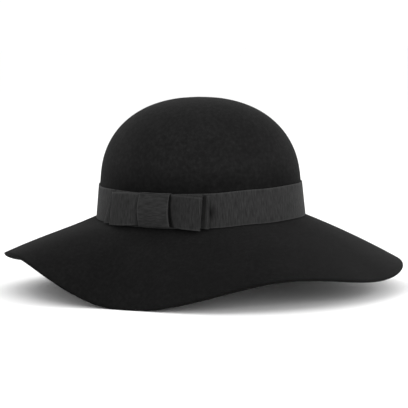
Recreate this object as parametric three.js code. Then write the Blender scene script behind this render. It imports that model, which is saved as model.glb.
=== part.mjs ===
// Wide brim hat: one blocked wool felt body, a grosgrain ribbon band and a flat tailored bow.
// Millimetres, +Z up. The front of the hat faces -Y and the bow sits on the wearer's right, at -X.
// A bearing runs round the head from the front: 90 degrees is +X, 180 is the back, -90 is the bow.
// The hat stands on the floor at z = 0, on the two low folds of its brim.

import * as THREE from 'three';
import { LoftGeometry } from 'three/addons/geometries/LoftGeometry.js';

// Felt body
const headLength = 198; // inside, front to back
const headWidth = 166; // inside, side to side
const feltWall = 2.2;
const crownHeight = 113.6; // from the break between crown and brim to the top, outside
const sideHeight = 30.5; // the straight wall under the dome
const sideTaper = 3.1; // how far the wall leans in over its height
const domeFullness = 2.26; // exponent of the dome's profile: 2 is an ellipse, more is squarer
const breakFade = 4; // power by which the rise and dip of the break die out up the dome

// Brim
const brimFront = 104.1; // measured along the felt, from the break to the cut edge
const brimBack = 93.3;
const restPress = 2.2; // how far the floor flattens the lower side fold where the hat stands on it

// The break round the head. bearing: degrees from the front. rise: how far it lies up or down there.
const breakRises = [
  { bearing: -130, rise: -0.8 },
  { bearing: -85, rise: -2.6 },
  { bearing: -62, rise: -2 },
  { bearing: -33, rise: 0.9 },
  { bearing: 0, rise: 2.7 },
  { bearing: 38, rise: 3.2 },
  { bearing: 89, rise: -3.2 },
  { bearing: 130, rise: -0.5 },
  { bearing: 180, rise: 2.7 },
];

// The folds round the brim, from behind the bow by way of the front to the back.
// droop: degrees below level, from the break to the edge.
// curl: share by which the felt starts flatter and ends steeper than its droop
const brimFolds = [
  { bearing: -130, droop: 14.6, curl: 0.36 }, // high lift behind the bow
  { bearing: -87, droop: 40.8, curl: 0.28 }, // low fold under the bow
  { bearing: -36, droop: 22.3, curl: 0.38 }, // lifted fold beside the front
  { bearing: 0, droop: 29.7, curl: 0.32 }, // front, a soft dip
  { bearing: 38, droop: 26, curl: 0.13 }, // lifted fold on the other side
  { bearing: 89, droop: 41.1, curl: 0.33 }, // low fold on the other side
  { bearing: 130, droop: 15, curl: 0.33 }, // high lift behind it
  { bearing: 180, droop: 31.9, curl: 0.18 }, // back, a dip
];

// Ribbon
const ribbonWidth = 31;
const ribbonThickness = 0.9;
const fitGap = 0.3; // between any two pieces
const bandRise = 0.3; // the band's lower edge above the break

// Bow, centred on bowBearing. Lengths run along the band: minus towards the back, plus towards the front.
const bowBearing = -90;
const knotWidth = 30.5;
const knotShift = 2.8; // the knot sits this far in front of the bow's centre
const bowWidth = 29.8; // the bow's ribbon is a little narrower than the band's
const knotLift = 1.4; // the knot stands this much higher than the band
const knotBulge = 2.6; // how far the middle of the knot's face swells
const knotSway = 1.3; // how far the middle of the knot's face leans towards the back
const knotPinch = 0.9; // what the knot takes off each edge of the loops inside it
const pinchReach = 14; // how far beyond the knot the loops take to open out

// to: length of an end. drop: how far it hangs below the band.
// slant: how much further its lower corner reaches than its upper
const backLoops = {
  toBack: 57, dropBack: 0.7, slantBack: 12,
  toFront: 55.5, dropFront: 0.9, slantFront: -1,
  puff: 2.6,
};
const frontLoops = {
  toBack: 45.5, dropBack: 0.5, slantBack: 2,
  toFront: 48.5, dropFront: 2.2, slantFront: -2.5,
  puff: 3.6,
};

// Fineness of the faceted surfaces
const bodyColumns = 80;
const domeRings = 9;
const brimRings = 8;
const bandColumns = 72;
const wingSteps = 6;
const bendSteps = 4;
const knotColumns = 4;
const knotRows = 10;

// Worked out from the sizes above
const innerOval = { along: headLength / 2, across: headWidth / 2 };
const outerOval = { along: innerOval.along + feltWall, across: innerOval.across + feltWall };
const brimMean = (brimFront + brimBack) / 2;
const radians = THREE.MathUtils.degToRad;

function ovalPoint(oval, bearing) {
  return new THREE.Vector2(oval.across * Math.sin(bearing), -oval.along * Math.cos(bearing));
}

// Outward normal of the oval, in plan
function ovalNormal(oval, bearing) {
  return new THREE.Vector2(Math.sin(bearing) / oval.across, -Math.cos(bearing) / oval.along).normalize();
}

// A column of a table at a bearing, eased from row to row round the head
function valueAt(table, column, bearing) {
  const turn = THREE.MathUtils.euclideanModulo(THREE.MathUtils.radToDeg(bearing) + 180, 360) - 180;
  const next = table.findIndex((row) => row.bearing >= turn);
  const after = table[next];
  const before = table.at(next - 1);
  const start = next > 0 ? before.bearing : before.bearing - 360;
  const way = (turn - start) / (after.bearing - start);
  const ease = (1 - Math.cos(Math.PI * way)) / 2;
  return THREE.MathUtils.lerp(before[column], after[column], ease);
}

function breakHeight(bearing) {
  return valueAt(breakRises, 'rise', bearing);
}

// Share of the dome's height that lies below a height above the break
function domeShare(height, top) {
  return THREE.MathUtils.clamp((height - sideHeight) / (top - sideHeight), 0, 1);
}

// Share of the oval that is left at a height: the leaning wall, then the dome
function crownShare(height, top) {
  const lean = (sideTaper / outerOval.along) * Math.min(height / sideHeight, 1);
  const up = domeShare(height, top);
  return (1 - lean) * (1 - up ** domeFullness) ** (1 / domeFullness);
}

// A point of the crown's wall at a height above the break, and an offset out from it
function crownPoint(oval, top, bearing, height, offset = 0) {
  const share = crownShare(height, top);
  const plan = ovalPoint(oval, bearing)
    .multiplyScalar(share)
    .addScaledVector(ovalNormal(oval, bearing), offset);
  const wave = breakHeight(bearing) * (1 - domeShare(height, top)) ** breakFade;
  return new THREE.Vector3(plan.x, plan.y, height + wave);
}

// Slopes of the brim below level at a bearing, at the break and at the cut edge
function brimSlopes(bearing) {
  const droop = radians(valueAt(brimFolds, 'droop', bearing));
  const curl = valueAt(brimFolds, 'curl', bearing);
  return { start: droop * (1 - curl), end: droop * (1 + curl) };
}

// A point of the brim: share runs from 0 at the break to 1 at the cut edge, depth into the felt.
// The brim's line in section is an arc whose slope grows evenly from the break to the edge.
function brimPoint(bearing, share, depth) {
  const slopes = brimSlopes(bearing);
  const width = brimMean + ((brimFront - brimBack) / 2) * Math.cos(bearing);
  const slope = THREE.MathUtils.lerp(slopes.start, slopes.end, share);
  const radius = width / (slopes.end - slopes.start);
  const reach = radius * (Math.sin(slope) - Math.sin(slopes.start)) - depth * Math.sin(slope);
  const fall = radius * (Math.cos(slopes.start) - Math.cos(slope)) + depth * Math.cos(slope);
  const plan = ovalPoint(outerOval, bearing).addScaledVector(ovalNormal(outerOval, bearing), reach);
  return new THREE.Vector3(plan.x, plan.y, breakHeight(bearing) - fall);
}

// The round inside edge of the head opening, from the crown's wall to the brim's underside
function openingEdgePoint(bearing, share) {
  const turn = THREE.MathUtils.lerp(Math.PI / 2, brimSlopes(bearing).start, share);
  const plan = ovalPoint(outerOval, bearing).addScaledVector(
    ovalNormal(outerOval, bearing),
    -feltWall * Math.sin(turn),
  );
  return new THREE.Vector3(plan.x, plan.y, breakHeight(bearing) - feltWall * Math.cos(turn));
}

// The underside of the cut edge reaches furthest down, at one of the low folds
const foldBottoms = brimFolds.map((fold) => brimPoint(radians(fold.bearing), 1, feltWall).z);
const floorHeight = Math.min(...foldBottoms) + restPress;

function ringOf(columns, pointAt) {
  return Array.from({ length: columns }, (_, i) => pointAt((i / columns) * 2 * Math.PI));
}

// Heights of one crown layer's rings, from the break to the top, where the ring closes to a point
function crownHeights(top) {
  const heights = [0, sideHeight / 2];
  for (let i = 0; i <= domeRings; i++) {
    const rise = Math.sin((i / domeRings) * (Math.PI / 2));
    heights.push(sideHeight + (top - sideHeight) * rise ** (2 / domeFullness));
  }
  return heights;
}

function crownRings(oval, top) {
  return crownHeights(top).map((height) =>
    ringOf(bodyColumns, (bearing) => crownPoint(oval, top, bearing, height)),
  );
}

function brimRingsAt(depth) {
  return Array.from({ length: brimRings + 1 }, (_, i) =>
    ringOf(bodyColumns, (bearing) => brimPoint(bearing, i / brimRings, depth)),
  );
}

// One skin from the inside of the crown, down and out under the brim, round its cut edge and back over it
function feltBody() {
  const inside = crownRings(innerOval, crownHeight - feltWall).reverse();
  const opening = ringOf(bodyColumns, (bearing) => openingEdgePoint(bearing, 0.5));
  const underside = brimRingsAt(feltWall);
  const upperside = brimRingsAt(0).reverse();
  const outside = crownRings(outerOval, crownHeight).slice(1);
  const sections = [...inside, opening, ...underside, ...upperside, ...outside];
  const settle = (point) => point.setZ(Math.max(point.z, floorHeight));
  return new LoftGeometry(sections.map((ring) => ring.map(settle)));
}

function sidePoint(bearing, height, offset) {
  return crownPoint(outerOval, crownHeight, bearing, height, offset);
}

// Section across a ribbon between two offsets, from its lower to its upper edge
function ribbonSection(bearing, low, high, inner, outer) {
  const middle = (low + high) / 2;
  return [
    sidePoint(bearing, low, inner),
    sidePoint(bearing, middle, inner),
    sidePoint(bearing, high, inner),
    sidePoint(bearing, high, outer),
    sidePoint(bearing, middle, outer),
    sidePoint(bearing, low, outer),
  ];
}

const bandTop = bandRise + ribbonWidth;
const bandOuter = fitGap + ribbonThickness;

function hatBand() {
  const sections = ringOf(bandColumns, (bearing) =>
    ribbonSection(bearing, bandRise, bandTop, fitGap, bandOuter),
  );
  return new LoftGeometry([...sections, sections[0]]);
}

// The layers of the bow, outwards from the band: knot's back, back loops, front loops, knot's face.
// Each loop is two ribbons deep, fitGap apart inside the knot and opening to the loop's puff outside it.
const pressedDepth = ribbonThickness + fitGap;
const backLoopSeat = bandOuter + fitGap + ribbonThickness + fitGap;

// Bearing of a length along the band from the bow's centre
function bowBearingAt(along) {
  return radians(bowBearing) + along / (outerOval.along + backLoopSeat);
}

// The stretch of the bow that the knot holds
const heldFrom = knotShift - knotWidth / 2 - fitGap;
const heldTo = knotShift + knotWidth / 2 + fitGap;

// Distance of a place on the bow from the held stretch, 0 inside it
function outOfKnot(along) {
  return Math.max(heldFrom - along, along - heldTo, 0);
}

// How far a place has opened out of the knot: 0 inside it, 1 clear of it
function clearOfKnot(along) {
  return THREE.MathUtils.smoothstep(outOfKnot(along), 0, pinchReach);
}

// Distance between the middles of a loop's two ribbons
function loopDepth(loops, along) {
  return THREE.MathUtils.lerp(pressedDepth, loops.puff, clearOfKnot(along));
}

// The back loops lie on the knot's back, and the front loops on the face of the back loops
function backSeat() {
  return backLoopSeat;
}

function frontSeat(along) {
  return backLoopSeat + loopDepth(backLoops, along) + ribbonThickness + fitGap;
}

// Edges of the bow's ribbon before it is lifted or pinched
const bowLow = bandRise + (ribbonWidth - bowWidth) / 2;
const bowHigh = bowLow + bowWidth;

// Lower and upper edge of a loop: lifted and pinched at the knot, drooping towards its ends
function loopEdges(loops, along) {
  const toFront = along > knotShift;
  const wing = toFront ? loops.toFront - heldTo : loops.toBack + heldFrom;
  const drop = toFront ? loops.dropFront : loops.dropBack;
  const lift = THREE.MathUtils.lerp(knotLift, -drop, outOfKnot(along) / wing);
  const pinch = knotPinch * (1 - clearOfKnot(along));
  return { low: bowLow + lift + pinch, high: bowHigh + lift - pinch };
}

// How far a loop's lower edge runs towards the front of its middle line, and its upper edge towards the back
function loopSlant(loops, along) {
  const toFront = along > knotShift;
  const wing = toFront ? loops.toFront - heldTo : loops.toBack + heldFrom;
  const slant = toFront ? loops.slantFront : -loops.slantBack;
  return (slant / 2) * (outOfKnot(along) / wing);
}

// Evenly spaced places from one end up to, and without, the other
function stations(from, to, steps) {
  return Array.from({ length: steps }, (_, i) => THREE.MathUtils.lerp(from, to, i / steps));
}

// Middle line of a loop's ribbon: along its face, round the front end, back along its seat, round the other
function loopLine(loops, seatAt) {
  const bend = loops.puff / 2;
  const from = bend + ribbonThickness / 2 - loops.toBack;
  const to = loops.toFront - bend - ribbonThickness / 2;
  const middle = (along) => seatAt(along) + ribbonThickness / 2;
  const stretch = [
    ...stations(from, heldFrom, wingSteps),
    ...stations(heldFrom, heldTo, knotColumns),
    ...stations(heldTo, to, wingSteps),
    to,
  ];
  const bendLine = (along, side) =>
    Array.from({ length: bendSteps - 1 }, (_, i) => {
      const turn = side * Math.PI * (0.5 - (i + 1) / bendSteps);
      const out = side * bend * Math.cos(turn);
      return new THREE.Vector2(along + out, middle(along) + bend + bend * Math.sin(turn));
    });
  return [
    ...stretch.map((along) => new THREE.Vector2(along, middle(along) + loopDepth(loops, along))),
    ...bendLine(to, 1),
    ...stretch.toReversed().map((along) => new THREE.Vector2(along, middle(along))),
    ...bendLine(from, -1),
  ];
}

// Unit normals of a closed line, pointing out of the loop it runs clockwise round
function lineNormals(line) {
  return line.map((_, i) => {
    const before = line.at(i - 1);
    const after = line[(i + 1) % line.length];
    return new THREE.Vector2(before.y - after.y, after.x - before.x).normalize();
  });
}

// The ribbon of one loop, closed on itself round its flat hollow
function bowLoops(loops, seatAt) {
  const line = loopLine(loops, seatAt);
  const normals = lineNormals(line);
  const sections = line.map((place, i) => {
    const edges = loopEdges(loops, place.x);
    const slant = loopSlant(loops, place.x);
    const inner = place.clone().addScaledVector(normals[i], -ribbonThickness / 2);
    const outer = place.clone().addScaledVector(normals[i], ribbonThickness / 2);
    return [
      sidePoint(bowBearingAt(inner.x + slant), edges.low, inner.y),
      sidePoint(bowBearingAt(inner.x - slant), edges.high, inner.y),
      sidePoint(bowBearingAt(outer.x - slant), edges.high, outer.y),
      sidePoint(bowBearingAt(outer.x + slant), edges.low, outer.y),
    ];
  });
  return new LoftGeometry([...sections, sections[0]]);
}

// Middle line of the knot's ribbon as height and offset: up its swelling face, over, down its back, under
function knotLine() {
  const half = ribbonThickness / 2;
  const low = bowLow + knotLift + knotPinch - fitGap - half;
  const high = bowHigh + knotLift - knotPinch + fitGap + half;
  const back = bandOuter + fitGap + half;
  const face = frontSeat(knotShift) + loopDepth(frontLoops, knotShift) + pressedDepth + half;
  const line = [];
  for (let i = 0; i <= knotRows; i++) {
    const way = i / knotRows;
    const height = THREE.MathUtils.lerp(low, high, way);
    line.push(new THREE.Vector2(height, face + knotBulge * Math.sin(Math.PI * way)));
  }
  line.push(new THREE.Vector2(high, back));
  line.push(new THREE.Vector2(low, back));
  return line;
}

// The knot: a ribbon wrapped round the loops from top to bottom
function bowKnot() {
  const line = knotLine();
  const normals = lineNormals(line);
  const sections = line.map((place, i) => {
    const inner = place.clone().addScaledVector(normals[i], -ribbonThickness / 2);
    const outer = place.clone().addScaledVector(normals[i], ribbonThickness / 2);
    const sway = i <= knotRows ? knotSway * Math.sin((Math.PI * i) / knotRows) : 0;
    const across = Array.from({ length: knotColumns + 1 }, (_, j) =>
      bowBearingAt(knotShift - sway + knotWidth * (j / knotColumns - 0.5)),
    );
    return [
      ...across.map((bearing) => sidePoint(bearing, outer.x, outer.y)),
      ...across.toReversed().map((bearing) => sidePoint(bearing, inner.x, inner.y)),
    ];
  });
  return new LoftGeometry([...sections, sections[0]]);
}

const blackFelt = new THREE.MeshStandardMaterial({ color: 0x17171a, roughness: 0.95, metalness: 0 });
const grosgrain = new THREE.MeshStandardMaterial({ color: 0x2c2c30, roughness: 0.7, metalness: 0 });

const hat = new THREE.Group();

function addPiece(name, geometry, material) {
  const piece = new THREE.Mesh(geometry, material);
  piece.name = name;
  hat.add(piece);
}

addPiece('felt_body', feltBody(), blackFelt);
addPiece('hat_band', hatBand(), grosgrain);
addPiece('bow_back_loops', bowLoops(backLoops, backSeat), grosgrain);
addPiece('bow_front_loops', bowLoops(frontLoops, frontSeat), grosgrain);
addPiece('bow_knot', bowKnot(), grosgrain);

// The frame's origin is on the floor, under the middle of the brim's outline
const extent = new THREE.Box3().setFromObject(hat);
const middle = extent.getCenter(new THREE.Vector3());
hat.position.set(-middle.x, -middle.y, -extent.min.z);

export default hat;
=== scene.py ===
"""Wide brim hat in black blocked wool felt, with a grosgrain band and a flat tailored bow.

Metres, +Z up. The front of the hat faces -Y, and the bow sits on the wearer's right, at -X.
The hat rests on the floor at z = 0, on the two low folds of its brim.
"""

import math

import bpy
import numpy as np
from mathutils import Matrix, Vector


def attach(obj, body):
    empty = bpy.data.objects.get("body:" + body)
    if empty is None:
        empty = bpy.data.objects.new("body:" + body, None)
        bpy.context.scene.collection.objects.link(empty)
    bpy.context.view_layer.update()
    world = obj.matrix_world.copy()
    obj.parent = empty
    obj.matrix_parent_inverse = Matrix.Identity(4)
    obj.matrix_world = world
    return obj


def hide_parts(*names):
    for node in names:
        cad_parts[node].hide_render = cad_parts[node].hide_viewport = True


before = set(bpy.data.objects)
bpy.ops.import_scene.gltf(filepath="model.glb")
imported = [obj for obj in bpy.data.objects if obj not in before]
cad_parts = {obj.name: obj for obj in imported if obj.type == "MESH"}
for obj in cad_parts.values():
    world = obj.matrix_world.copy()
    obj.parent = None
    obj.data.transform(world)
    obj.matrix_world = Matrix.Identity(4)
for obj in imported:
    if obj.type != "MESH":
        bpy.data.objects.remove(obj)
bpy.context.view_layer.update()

# Felt body
HEAD_CENTRE_X = 0.000567
HEAD_CENTRE_Y = 0.005467
OVAL_ALONG = 0.1012
OVAL_ACROSS = 0.0852
OVAL_POINTS = 2881
# The break is the line between crown and brim. This is its height before it rises and falls.
BREAK_HEIGHT = 0.0666
# How far the break lies up or down at each of these bearings, in degrees from the front
BREAK_RISES = [
    (-180, 0.0027),
    (-130, -0.0008),
    (-85, -0.0026),
    (-62, -0.002),
    (-33, 0.0009),
    (0, 0.0027),
    (38, 0.0032),
    (89, -0.0032),
    (130, -0.0005),
    (180, 0.0027),
]
BRIM_BEYOND = 1.3  # anything this many head ovals out belongs to the outer brim
FELT_CRISPNESS = 0.85
FELT_LEVELS = 2

# Ribbon
RIBBON_WIDTH = 0.031
BAND_RISE = 0.0003  # gap between the break and the band's lower edge
RIBBON_CRISPNESS = 0.9
RIBBON_LEVELS = 3

# Lengths along the bow from its middle, minus towards the back of the hat
BOW_RADIUS = 0.1039  # an angle round the head times this is a length along the bow
LONG_LOOPS_REACH = (-0.057, 0.0555)
SHORT_LOOPS_REACH = (-0.0455, 0.0485)
KNOT_REACH = (-0.0112, 0.0192)
# How far the lower corner of each end lies along the bow from the middle of that end
LONG_LOOPS_SLANT = (-0.006, -0.0005)
SHORT_LOOPS_SLANT = (-0.001, -0.00125)
NO_SLANT = (0.0, 0.0)

# Knot
KNOT_MIDDLE = 0.00276  # how far its solid lies in front of the hat's right side
KNOT_FORWARD = 0.001  # how much further to the front it is moved here
KNOT_SWAY = 0.0013  # how far the middle of its face leans back in the solid
KNOT_STRAIGHTENED = 0.0006  # how much of that is taken out
KNOT_LEAN = KNOT_SWAY - KNOT_STRAIGHTENED

# Painted shade, a darker colour of the ribbon in the bow's gaps and over its front loops: depths up
# to 1, and the widths over which it stays dark and then goes soft, on the band and the loops, at
# the back and the front of the bow
UNDER_EDGE = 0.002  # it fades over this length under an edge
FRONT_DIM = 0.22  # it lies over all of the loops in front of the knot
BAND_BACK_DEPTH = 0.6
BAND_BACK_DARK = 0.001
BAND_BACK_SOFT = 0.003
BAND_FRONT_DEPTH = 0.9
BAND_FRONT_SOFT = 0.0095
BAND_FRONT_DROP = 0.002  # its middle lies this far below the band's middle line
LONG_BACK_DEPTH = 0.75
LONG_BACK_DARK = 0.0025
LONG_BACK_SOFT = 0.0045
LONG_FRONT_DEPTH = 0.9  # at the upper edge
LONG_FRONT_PALING = 0.25  # the depth lost by the lower edge
LONG_FRONT_DARK = 0.0022
LONG_FRONT_SOFT = 0.0012
SHORT_BACK_DEPTH = 0.7
SHORT_BACK_SOFT = 0.002  # at the upper edge
SHORT_BACK_WIDENING = 0.005  # the width gained by the lower edge
WEDGE_DARK = 0.0006  # at the upper edge
WEDGE_WIDENING = 0.0034  # the width gained by the lower edge

# Turning loose triangles into a skin
MERGE_REACH = 2e-5
QUAD_TURN = math.radians(60)
QUAD_SKEW = math.radians(100)
# Edges that turn more than this between two faces stay crisp
CRISP_TURN = math.radians(52)

# Look of the felt. Noise scales are in cells a metre, greys are linear, pairs run dark to light.
FELT_GRAIN = 1400
FELT_TANGLE = 520
FELT_PATCHES = 300
FELT_CLOUDS = 24
# Heights between which the felt turns to the lighter greys of the upper crown, a painted light
CROWN_PAINTED_LIGHT_FROM = 0.1
CROWN_PAINTED_LIGHT_TO = 0.125
# The brim's raw edge: its mark counts from this value up to 1, and makes the felt this much darker
CUT_EDGE_FROM = 0.93
CUT_EDGE_DARKER = -0.15
FELT_SHADES = (0.3, 1.2)  # the fibres and clouds together, where the felt is darkest and lightest
BRIM_GREYS = (0.0026, 0.0112)
# The upper crown's greys, lighter than the brim's as a painted light
CROWN_PAINTED_LIGHT_GREYS = (0.005, 0.02)
FELT_ROUGHNESS = (0.98, 0.86)
FELT_SHEEN = 0.6
NAP_DEPTH = 0.0004

# Look of the ribbon
RIB_PITCH = 0.0011
RIB_WAVER = 0.0016
RIB_WAVER_CELLS = 90
SELVEDGE_FROM = 0.0143  # distances from the ribbon's middle line
SELVEDGE_TO = 0.0151
SELVEDGE_HEIGHT = 1.15
THREADS_ALONG = 950
THREADS_ACROSS = 110
RIBBON_SHADES = (0.9, 3.4)  # threads, ribs and selvedge together, at the darkest and lightest
RIBBON_GREYS = (0.005, 0.0255)
# The near black of the painted shade at its full depth
PAINTED_SHADE_GREY = 0.0005
RIBBON_ROUGHNESS = (0.78, 0.62)
RIBBON_SHEEN = 0.7
WEAVE_DEPTH = 0.00018

# The camera, as the outline in the photograph places it
PHOTO_PIXELS = 408
CAMERA_BEARING = math.radians(-60.51)
CAMERA_RISE = math.radians(5.52)
CAMERA_ROLL = math.radians(0.775)
CAMERA_DISTANCE = 1.7497
FOCAL_PIXELS = 1854.7
SENSOR_WIDTH = 36
SIGHT_PIXEL_X = 199.7
SIGHT_PIXEL_Y = 216.65
SIGHT_PLACE = Vector((HEAD_CENTRE_X, HEAD_CENTRE_Y, BREAK_HEIGHT))

# Light and floor
ROOM_WHITE = 1.07
FLOOR_GREYS = (0.92, 0.96)
FLOOR_TOOTH = 300
FLOOR_REACH = 40


def select_only(piece):
    bpy.ops.object.select_all(action="DESELECT")
    piece.select_set(True)
    bpy.context.view_layer.objects.active = piece


def skin_of(node, name):
    """A new piece with a solid's shape: its loose triangles merged into a skin, mostly of quads."""
    piece = bpy.data.objects.new(name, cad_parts[node].data.copy())
    bpy.context.scene.collection.objects.link(piece)
    piece.data.materials.clear()
    select_only(piece)
    bpy.ops.mesh.customdata_custom_splitnormals_clear()
    bpy.ops.object.mode_set(mode="EDIT")
    bpy.ops.mesh.select_all(action="SELECT")
    bpy.ops.mesh.remove_doubles(threshold=MERGE_REACH)
    bpy.ops.mesh.tris_convert_to_quads(face_threshold=QUAD_TURN, shape_threshold=QUAD_SKEW)
    bpy.ops.object.mode_set(mode="OBJECT")
    return piece


def keep_crisp(piece, sharpness):
    """Creases the edges where the skin turns hard, such as a cut edge."""
    select_only(piece)
    bpy.ops.object.mode_set(mode="EDIT")
    bpy.ops.mesh.select_mode(type="EDGE")
    bpy.ops.mesh.select_all(action="DESELECT")
    bpy.ops.mesh.edges_select_sharp(sharpness=CRISP_TURN)
    bpy.ops.transform.edge_crease(value=sharpness)
    bpy.ops.object.mode_set(mode="OBJECT")


def refine(piece, levels):
    """Divides each face into smaller ones that follow a smooth surface."""
    select_only(piece)
    smooth = piece.modifiers.new("smooth", "SUBSURF")
    smooth.levels = levels
    smooth.render_levels = levels
    smooth.uv_smooth = "NONE"
    bpy.ops.object.modifier_apply(modifier=smooth.name)
    bpy.ops.object.shade_smooth()


def settle(piece, body, node):
    """The piece rides on the body and stands for its solid."""
    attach(piece, body)
    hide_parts(node)


# Places round the head


def in_ovals(place):
    """A place from the head's middle in plan, in head ovals: across, and towards the front."""
    across = (place.x - HEAD_CENTRE_X) / OVAL_ACROSS
    forward = -(place.y - HEAD_CENTRE_Y) / OVAL_ALONG
    return across, forward


def turn_round_head(place):
    """Angle of a place round the head's oval, from the front."""
    across, forward = in_ovals(place)
    return math.atan2(across, forward)


def ovals_out(place):
    """How many head ovals a place lies out from the middle, in plan."""
    across, forward = in_ovals(place)
    return math.hypot(across, forward)


def oval_line():
    """Angles round the head's oval from the back, and the length along the oval up to each."""
    angles = np.linspace(-math.pi, math.pi, OVAL_POINTS)
    line = np.stack([OVAL_ACROSS * np.sin(angles), -OVAL_ALONG * np.cos(angles)], axis=1)
    steps = np.linalg.norm(np.diff(line, axis=0), axis=1)
    return angles, np.concatenate([[0.0], np.cumsum(steps)])


OVAL_ANGLES, OVAL_LENGTHS = oval_line()
OVAL_ROUND = float(OVAL_LENGTHS[-1])


def length_round_head(place):
    """Length along the head's oval from the back up to a place."""
    return float(np.interp(turn_round_head(place), OVAL_ANGLES, OVAL_LENGTHS))


def break_rise(turn):
    """How far the break lies up or down at an angle, eased from one listed bearing to the next."""
    bearing = math.degrees(turn)
    for (start, before), (end, after) in zip(BREAK_RISES, BREAK_RISES[1:]):
        if bearing <= end:
            way = (bearing - start) / (end - start)
            return before + (after - before) * (1 - math.cos(math.pi * way)) / 2
    return BREAK_RISES[-1][1]


def height_on_ribbon(place):
    """Height of a place above the middle line of the band."""
    middle = BREAK_HEIGHT + BAND_RISE + break_rise(turn_round_head(place)) + RIBBON_WIDTH / 2
    return place.z - middle


def down_ribbon(place):
    """0 at the ribbon's upper edge, 1 at its lower edge."""
    return min(max(0.5 - height_on_ribbon(place) / RIBBON_WIDTH, 0.0), 1.0)


def knot_arch(place):
    """0 at the knot's upper and lower edge, 1 half way between them."""
    return math.sin(math.pi * down_ribbon(place))


def along_bow(place):
    """Length along the bow from its middle, minus towards the back."""
    return (turn_round_head(place) + math.pi / 2) * BOW_RADIUS


# Felt


def mark_cut_edge(piece):
    """Marks the raw edge of the brim on the skin's points: 1 on it, 0 from one row in."""
    mesh = piece.data
    creases = mesh.attributes["crease_edge"].data
    on_edge = set()
    for edge in mesh.edges:
        start, end = (mesh.vertices[i] for i in edge.vertices)
        if creases[edge.index].value > 0 and ovals_out(start.co) > BRIM_BEYOND:
            on_edge.update((start.index, end.index))
    nearness = mesh.attributes.new("cut_edge", "FLOAT", "POINT")
    for index in on_edge:
        nearness.data[index].value = 1.0


def make_felt_hat():
    piece = skin_of("felt_body", "felt_hat")
    keep_crisp(piece, FELT_CRISPNESS)
    mark_cut_edge(piece)
    refine(piece, FELT_LEVELS)
    piece.data.materials.append(felt_material())
    settle(piece, "root", "felt_body")


# Ribbon


def write_ribbon_map(piece, place_on_ribbon):
    """Gives the piece a map in metres: along the ribbon, and across it from its middle line."""
    mesh = piece.data
    while mesh.uv_layers:
        mesh.uv_layers.remove(mesh.uv_layers[0])
    ribbon_map = mesh.uv_layers.new(name="ribbon")
    for face in mesh.polygons:
        places = [place_on_ribbon(mesh.vertices[corner].co) for corner in face.vertices]
        furthest = max(along for along, _ in places)
        for loop, (along, across) in zip(face.loop_indices, places):
            # A face over the seam at the back runs on past the full round
            if furthest - along > OVAL_ROUND / 2:
                along += OVAL_ROUND
            ribbon_map.data[loop].uv = (along, across)


def on_band(place):
    """Place on the band's ribbon, which is laid round the head in three rows of points."""
    row = round(height_on_ribbon(place) / (RIBBON_WIDTH / 2))
    return length_round_head(place), row * RIBBON_WIDTH / 2


def on_loops(place):
    """Place on the ribbon of the bow's loops, which is laid with one point on each edge."""
    return length_round_head(place), math.copysign(RIBBON_WIDTH / 2, height_on_ribbon(place))


def on_knot(place):
    """Place on the knot's ribbon, which runs up and down over the loops."""
    middle = OVAL_ROUND / 4 + KNOT_MIDDLE + KNOT_FORWARD - KNOT_LEAN * knot_arch(place)
    return place.z, (length_round_head(place) - middle) * ovals_out(place)


def carried_along(place, length):
    """The place carried this far round the head, at its own height and its own distance out."""
    turn = turn_round_head(place) + length / BOW_RADIUS
    out = ovals_out(place)
    x = HEAD_CENTRE_X + OVAL_ACROSS * out * math.sin(turn)
    y = HEAD_CENTRE_Y - OVAL_ALONG * out * math.cos(turn)
    return Vector((x, y, place.z))


def straighten_knot(piece):
    """Moves the knot to the front, the middle of its face a little further than its edges."""
    for vertex in piece.data.vertices:
        length = KNOT_FORWARD + KNOT_STRAIGHTENED * knot_arch(vertex.co)
        vertex.co = carried_along(vertex.co, length)


def fade(distance, width):
    """1 at no distance and below, falling smoothly to 0 at the width."""
    way = min(max(distance / width, 0.0), 1.0)
    return 1 - way * way * (3 - 2 * way)


def beside(past, dark, soft):
    """Shade past an edge that lies over the ribbon: full over the dark width, then fading."""
    if past < 0:
        return fade(-past, UNDER_EDGE)
    return fade(past - dark, soft)


def past_end(place, reach, slant):
    """How far a place lies past the nearer end of what lies over it."""
    along = along_bow(place)
    lower = -height_on_ribbon(place) / (RIBBON_WIDTH / 2)
    if along < 0:
        return reach[0] + slant[0] * lower - along
    return along - reach[1] - slant[1] * lower


def shade_on_band(place):
    """Shade where the long loops stand off the band."""
    past = past_end(place, LONG_LOOPS_REACH, LONG_LOOPS_SLANT)
    if along_bow(place) < 0:
        return BAND_BACK_DEPTH * beside(past, BAND_BACK_DARK, BAND_BACK_SOFT)
    off_middle = abs(height_on_ribbon(place) + BAND_FRONT_DROP)
    middle_part = fade(off_middle, BAND_FRONT_SOFT)
    return BAND_FRONT_DEPTH * fade(past, BAND_FRONT_SOFT) * middle_part


def shade_on_long_loops(place):
    """Shade beside the ends of the short loops."""
    past = past_end(place, SHORT_LOOPS_REACH, SHORT_LOOPS_SLANT)
    if along_bow(place) < 0:
        return LONG_BACK_DEPTH * beside(past, LONG_BACK_DARK, LONG_BACK_SOFT)
    depth = LONG_FRONT_DEPTH - LONG_FRONT_PALING * down_ribbon(place)
    return max(FRONT_DIM, depth * beside(past, LONG_FRONT_DARK, LONG_FRONT_SOFT))


def shade_on_short_loops(place):
    """Shade beside the knot, in front of it in a wedge that widens downwards."""
    down = down_ribbon(place)
    past = past_end(place, KNOT_REACH, NO_SLANT)
    if along_bow(place) < 0:
        return SHORT_BACK_DEPTH * fade(past, SHORT_BACK_SOFT + SHORT_BACK_WIDENING * down)
    past_edge = past + KNOT_LEAN * knot_arch(place)
    wedge = WEDGE_DARK + WEDGE_WIDENING * down**3
    return max(FRONT_DIM, beside(past_edge, wedge, wedge / 2))


def no_shade(place):
    return 0.0


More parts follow.
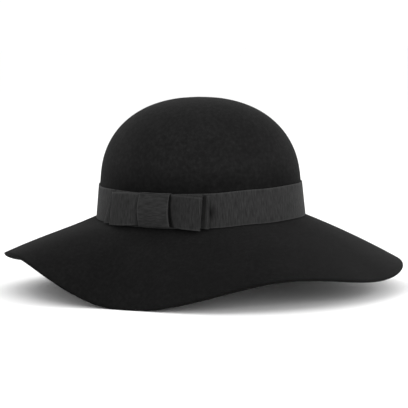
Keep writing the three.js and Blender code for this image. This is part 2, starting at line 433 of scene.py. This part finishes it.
def write_shade(piece, shade_at):
    """Keeps the painted shade at each point of the piece, for its material to read."""
    shade = piece.data.attributes.new("painted_shade", "FLOAT", "POINT")
    for vertex in piece.data.vertices:
        shade.data[vertex.index].value = shade_at(vertex.co)


def finish_ribbon_piece(piece, node, place_on_ribbon, shade_at, cloth):
    write_ribbon_map(piece, place_on_ribbon)
    keep_crisp(piece, RIBBON_CRISPNESS)
    refine(piece, RIBBON_LEVELS)
    write_shade(piece, shade_at)
    piece.data.materials.append(cloth)
    settle(piece, "root", node)


def make_band(cloth):
    band = skin_of("hat_band", "ribbon_band")
    finish_ribbon_piece(band, "hat_band", on_band, shade_on_band, cloth)


def make_long_loops(cloth):
    back = skin_of("bow_back_loops", "bow_long_loops")
    finish_ribbon_piece(back, "bow_back_loops", on_loops, shade_on_long_loops, cloth)


def make_short_loops(cloth):
    front = skin_of("bow_front_loops", "bow_short_loops")
    finish_ribbon_piece(front, "bow_front_loops", on_loops, shade_on_short_loops, cloth)


def make_wrap(cloth):
    knot = skin_of("bow_knot", "bow_wrap")
    straighten_knot(knot)
    finish_ribbon_piece(knot, "bow_knot", on_knot, no_shade, cloth)


def make_ribbon_trim():
    cloth = grosgrain_material()
    make_band(cloth)
    make_long_loops(cloth)
    make_short_loops(cloth)
    make_wrap(cloth)


# Materials


def grey(level):
    return (level, level, level, 1)


def add_node(tree, kind, **settings):
    node = tree.nodes.new(kind)
    for name, value in settings.items():
        setattr(node, name, value)
    return node


def set_inputs(node, **values):
    """Sets a node's inputs by name, with spaces written as underscores."""
    for name, value in values.items():
        node.inputs[name.replace("_", " ")].default_value = value


def calculate(tree, operation, first, second=None, third=None):
    """A Math node on sockets or plain numbers. Gives its output socket."""
    node = add_node(tree, "ShaderNodeMath", operation=operation)
    for socket, value in zip(node.inputs, (first, second, third)):
        if value is None:
            continue
        if isinstance(value, (int, float)):
            socket.default_value = value
        else:
            tree.links.new(value, socket)
    return node.outputs["Value"]


def spread(tree, value, start, end, result=(0.0, 1.0)):
    """Maps the range from start to end smoothly onto another, without going past it."""
    node = add_node(tree, "ShaderNodeMapRange", interpolation_type="SMOOTHSTEP")
    set_inputs(node, From_Min=start, From_Max=end, To_Min=result[0], To_Max=result[1])
    tree.links.new(value, node.inputs["Value"])
    return node.outputs["Result"]


def blend_colours(tree, share, first, second):
    """Mixes two colours, each a socket or four numbers. Gives the output socket."""
    node = add_node(tree, "ShaderNodeMix", data_type="RGBA")
    sockets = [socket for socket in node.inputs if socket.type == "RGBA"]
    for socket, colour in zip(sockets, (first, second)):
        if isinstance(colour, tuple):
            socket.default_value = colour
        else:
            tree.links.new(colour, socket)
    tree.links.new(share, node.inputs["Factor"])
    return [socket for socket in node.outputs if socket.type == "RGBA"][0]


def blend_greys(tree, share, greys):
    dark, light = greys
    return blend_colours(tree, share, grey(dark), grey(light))


def new_group(name, outputs):
    """An empty shader node group with number outputs. Gives the group and its output node."""
    group = bpy.data.node_groups.new(name, "ShaderNodeTree")
    for output in outputs:
        group.interface.new_socket(name=output, in_out="OUTPUT", socket_type="NodeSocketFloat")
    return group, group.nodes.new("NodeGroupOutput")


def new_material(name):
    material = bpy.data.materials.new(name)
    material.use_nodes = True
    return material, material.node_tree, material.node_tree.nodes["Principled BSDF"]


def raise_surface(tree, shader, height, depth, strength):
    bump = add_node(tree, "ShaderNodeBump")
    set_inputs(bump, Distance=depth, Strength=strength)
    tree.links.new(height, bump.inputs["Height"])
    tree.links.new(bump.outputs["Normal"], shader.inputs["Normal"])


def noise_at(tree, place, scale, detail=2.0, roughness=0.5, distortion=0.0, kind="FBM"):
    noise = add_node(tree, "ShaderNodeTexNoise", noise_type=kind)
    set_inputs(noise, Scale=scale, Detail=detail, Roughness=roughness, Distortion=distortion)
    tree.links.new(place, noise.inputs["Vector"])
    return noise.outputs["Fac"]


def wool_nap_and_crown_light_group():
    """The tangle of wool fibres on the felt's face, the broad clouding of its dye, and a mask for
    the painted light on the upper crown.
    """
    group, out = new_group("wool_nap_and_crown_light", ("Fibres", "Clouding", "Crown_Painted_Light", "Height"))
    place = group.nodes.new("ShaderNodeTexCoord").outputs["Object"]
    parts = group.nodes.new("ShaderNodeSeparateXYZ")
    group.links.new(place, parts.inputs["Vector"])
    # Painted light: 0 below the crown's lighter part, 1 above it
    crown = spread(group, parts.outputs["Z"], CROWN_PAINTED_LIGHT_FROM, CROWN_PAINTED_LIGHT_TO)
    grain = noise_at(group, place, FELT_GRAIN, detail=3, roughness=0.65)
    tangle = noise_at(group, place, FELT_TANGLE, distortion=1.6, kind="RIDGED_MULTIFRACTAL")
    broad = noise_at(group, place, FELT_CLOUDS, detail=3, roughness=0.6)
    patches = noise_at(group, place, FELT_PATCHES, detail=3, roughness=0.65)
    fibres = spread(group, tangle, 0.55, 1.5)
    broad_part = calculate(group, "MULTIPLY", broad, 0.3)
    clouding = calculate(group, "MULTIPLY_ADD", patches, 0.7, broad_part)
    height = calculate(group, "MULTIPLY_ADD", fibres, 0.5, grain)
    group.links.new(fibres, out.inputs["Fibres"])
    group.links.new(clouding, out.inputs["Clouding"])
    group.links.new(crown, out.inputs["Crown_Painted_Light"])
    group.links.new(height, out.inputs["Height"])
    return group


def felt_material():
    material, tree, shader = new_material("black_wool_felt")
    nap_and_crown_light = add_node(tree, "ShaderNodeGroup", node_tree=wool_nap_and_crown_light_group())
    edge = add_node(tree, "ShaderNodeAttribute", attribute_name="cut_edge").outputs["Fac"]
    raw_edge = spread(tree, edge, CUT_EDGE_FROM, 1.0)
    shade = calculate(tree, "MULTIPLY_ADD", nap_and_crown_light.outputs["Fibres"], 0.45, nap_and_crown_light.outputs["Clouding"])
    shade = calculate(tree, "MULTIPLY_ADD", raw_edge, CUT_EDGE_DARKER, shade)
    share = spread(tree, shade, *FELT_SHADES)
    brim_black = blend_greys(tree, share, BRIM_GREYS)
    painted_light_crown_black = blend_greys(tree, share, CROWN_PAINTED_LIGHT_GREYS)
    # Painted light: the upper crown takes the lighter greys
    colour = blend_colours(tree, nap_and_crown_light.outputs["Crown_Painted_Light"], brim_black, painted_light_crown_black)
    roughness = spread(tree, shade, *FELT_SHADES, FELT_ROUGHNESS)
    tree.links.new(colour, shader.inputs["Base Color"])
    tree.links.new(roughness, shader.inputs["Roughness"])
    set_inputs(shader, Specular_IOR_Level=0.04, Sheen_Weight=0.03, Sheen_Roughness=0.5)
    set_inputs(shader, Sheen_Tint=grey(FELT_SHEEN))
    raise_surface(tree, shader, nap_and_crown_light.outputs["Height"], NAP_DEPTH, 0.55)
    return material


def grosgrain_group():
    """Cross ribs, selvedges and uneven threads of a corded ribbon, from its map in metres."""
    group, out = new_group("grosgrain", ("Ribs", "Selvedge_Highlight", "Threads", "Height"))
    place = add_node(group, "ShaderNodeUVMap", uv_map="ribbon").outputs["UV"]
    parts = group.nodes.new("ShaderNodeSeparateXYZ")
    group.links.new(place, parts.inputs["Vector"])
    along, across = parts.outputs["X"], parts.outputs["Y"]
    waver = noise_at(group, place, RIB_WAVER_CELLS, detail=1)
    along_ribs = calculate(group, "MULTIPLY_ADD", waver, RIB_WAVER, along)
    rib_turn = calculate(group, "MULTIPLY", along_ribs, math.pi / RIB_PITCH)
    ribs = calculate(group, "ABSOLUTE", calculate(group, "SINE", rib_turn))
    from_middle = calculate(group, "ABSOLUTE", across)
    selvedge = spread(group, from_middle, SELVEDGE_FROM, SELVEDGE_TO)
    stretched = group.nodes.new("ShaderNodeCombineXYZ")
    group.links.new(calculate(group, "MULTIPLY", along, THREADS_ALONG), stretched.inputs["X"])
    group.links.new(calculate(group, "MULTIPLY", across, THREADS_ACROSS), stretched.inputs["Y"])
    threads = noise_at(group, stretched.outputs["Vector"], 1.0, detail=3, roughness=0.6)
    raised_edge = calculate(group, "MULTIPLY", selvedge, SELVEDGE_HEIGHT)
    height = calculate(group, "MULTIPLY_ADD", threads, 0.35, ribs)
    height = calculate(group, "MAXIMUM", height, raised_edge)
    group.links.new(ribs, out.inputs["Ribs"])
    group.links.new(selvedge, out.inputs["Selvedge_Highlight"])
    group.links.new(threads, out.inputs["Threads"])
    group.links.new(height, out.inputs["Height"])
    return group


def grosgrain_material():
    material, tree, shader = new_material("black_grosgrain")
    weave = add_node(tree, "ShaderNodeGroup", node_tree=grosgrain_group())
    shade = calculate(tree, "MULTIPLY_ADD", weave.outputs["Threads"], 3.0, weave.outputs["Ribs"])
    # Painted highlight: the ribbon's colour is lighter along the raised selvedge at its edges
    shade = calculate(tree, "MULTIPLY_ADD", weave.outputs["Selvedge_Highlight"], 0.6, shade)
    share = spread(tree, shade, *RIBBON_SHADES)
    # Painted shade: the attribute darkens the ribbon's colour towards a near black in the bow's
    # gaps
    painted_shade = add_node(tree, "ShaderNodeAttribute", attribute_name="painted_shade").outputs["Fac"]
    colour = blend_greys(tree, share, RIBBON_GREYS)
    darkened = blend_colours(tree, painted_shade, colour, grey(PAINTED_SHADE_GREY))
    roughness = spread(tree, shade, *RIBBON_SHADES, RIBBON_ROUGHNESS)
    tree.links.new(darkened, shader.inputs["Base Color"])
    tree.links.new(roughness, shader.inputs["Roughness"])
    set_inputs(shader, Specular_IOR_Level=0.07, Sheen_Weight=0.04, Sheen_Roughness=0.4)
    set_inputs(shader, Sheen_Tint=grey(RIBBON_SHEEN))
    raise_surface(tree, shader, weave.outputs["Height"], WEAVE_DEPTH, 0.7)
    return material


def paper_material():
    material, tree, shader = new_material("pale_floor")
    place = tree.nodes.new("ShaderNodeTexCoord").outputs["Object"]
    tooth = noise_at(tree, place, FLOOR_TOOTH)
    tree.links.new(blend_greys(tree, tooth, FLOOR_GREYS), shader.inputs["Base Color"])
    set_inputs(shader, Roughness=0.9, Specular_IOR_Level=0.1)
    return material


# Room


def make_floor():
    bpy.ops.object.select_all(action="DESELECT")
    bpy.ops.mesh.primitive_circle_add(vertices=96, radius=FLOOR_REACH, fill_type="NGON")
    floor = bpy.context.object
    floor.name = "floor"
    floor.data.materials.append(paper_material())


def make_room_light():
    world = bpy.data.worlds.new("white_room")
    world.use_nodes = True
    background = world.node_tree.nodes["Background"]
    set_inputs(background, Color=grey(1), Strength=ROOM_WHITE)
    bpy.context.scene.world = world


def direction_to(bearing, rise):
    """Unit vector from the hat towards a bearing and a height angle."""
    x = math.sin(bearing) * math.cos(rise)
    y = -math.cos(bearing) * math.cos(rise)
    return Vector((x, y, math.sin(rise)))


def add_softbox(name, beside_camera, rise, distance, size, watts):
    """A soft lamp, placed by its angle round the hat from the camera and its angle of rise."""
    towards = direction_to(CAMERA_BEARING + math.radians(beside_camera), math.radians(rise))
    bpy.ops.object.light_add(type="AREA")
    lamp = bpy.context.object
    lamp.name = name
    lamp.data.size = size
    lamp.data.energy = watts
    lamp.location = SIGHT_PLACE + towards * distance
    lamp.rotation_euler = towards.to_track_quat("Z", "Y").to_euler()
    lamp.visible_camera = False


def make_softboxes():
    add_softbox("top_softbox", beside_camera=-20, rise=68, distance=2.2, size=1.6, watts=3.5)
    add_softbox("front_softbox", beside_camera=18, rise=12, distance=2.3, size=1.2, watts=36)
    add_softbox("rear_left_softbox", beside_camera=-138, rise=32, distance=2.2, size=1.2, watts=12)
    add_softbox("right_softbox", beside_camera=88, rise=22, distance=2.2, size=1.2, watts=15)


def make_lens():
    lens = bpy.data.cameras.new("camera")
    lens.sensor_width = SENSOR_WIDTH
    lens.lens = SENSOR_WIDTH * FOCAL_PIXELS / PHOTO_PIXELS
    middle = (PHOTO_PIXELS - 1) / 2
    lens.shift_x = (middle - SIGHT_PIXEL_X) / PHOTO_PIXELS
    lens.shift_y = (SIGHT_PIXEL_Y - middle) / PHOTO_PIXELS
    lens.clip_end = 2 * FLOOR_REACH
    return lens


def make_camera():
    back = direction_to(CAMERA_BEARING, CAMERA_RISE)
    level = Vector((math.cos(CAMERA_BEARING), math.sin(CAMERA_BEARING), 0))
    upright = back.cross(level)
    right = level * math.cos(CAMERA_ROLL) - upright * math.sin(CAMERA_ROLL)
    up = level * math.sin(CAMERA_ROLL) + upright * math.cos(CAMERA_ROLL)
    place = Matrix((right, up, back)).transposed().to_4x4()
    place.translation = SIGHT_PLACE + back * CAMERA_DISTANCE
    camera = bpy.data.objects.new("camera", make_lens())
    bpy.context.scene.collection.objects.link(camera)
    camera.matrix_world = place
    bpy.context.scene.camera = camera


make_felt_hat()
make_ribbon_trim()
make_floor()
make_room_light()
make_softboxes()
make_camera()
bpy.context.scene.view_settings.view_transform = "Standard"
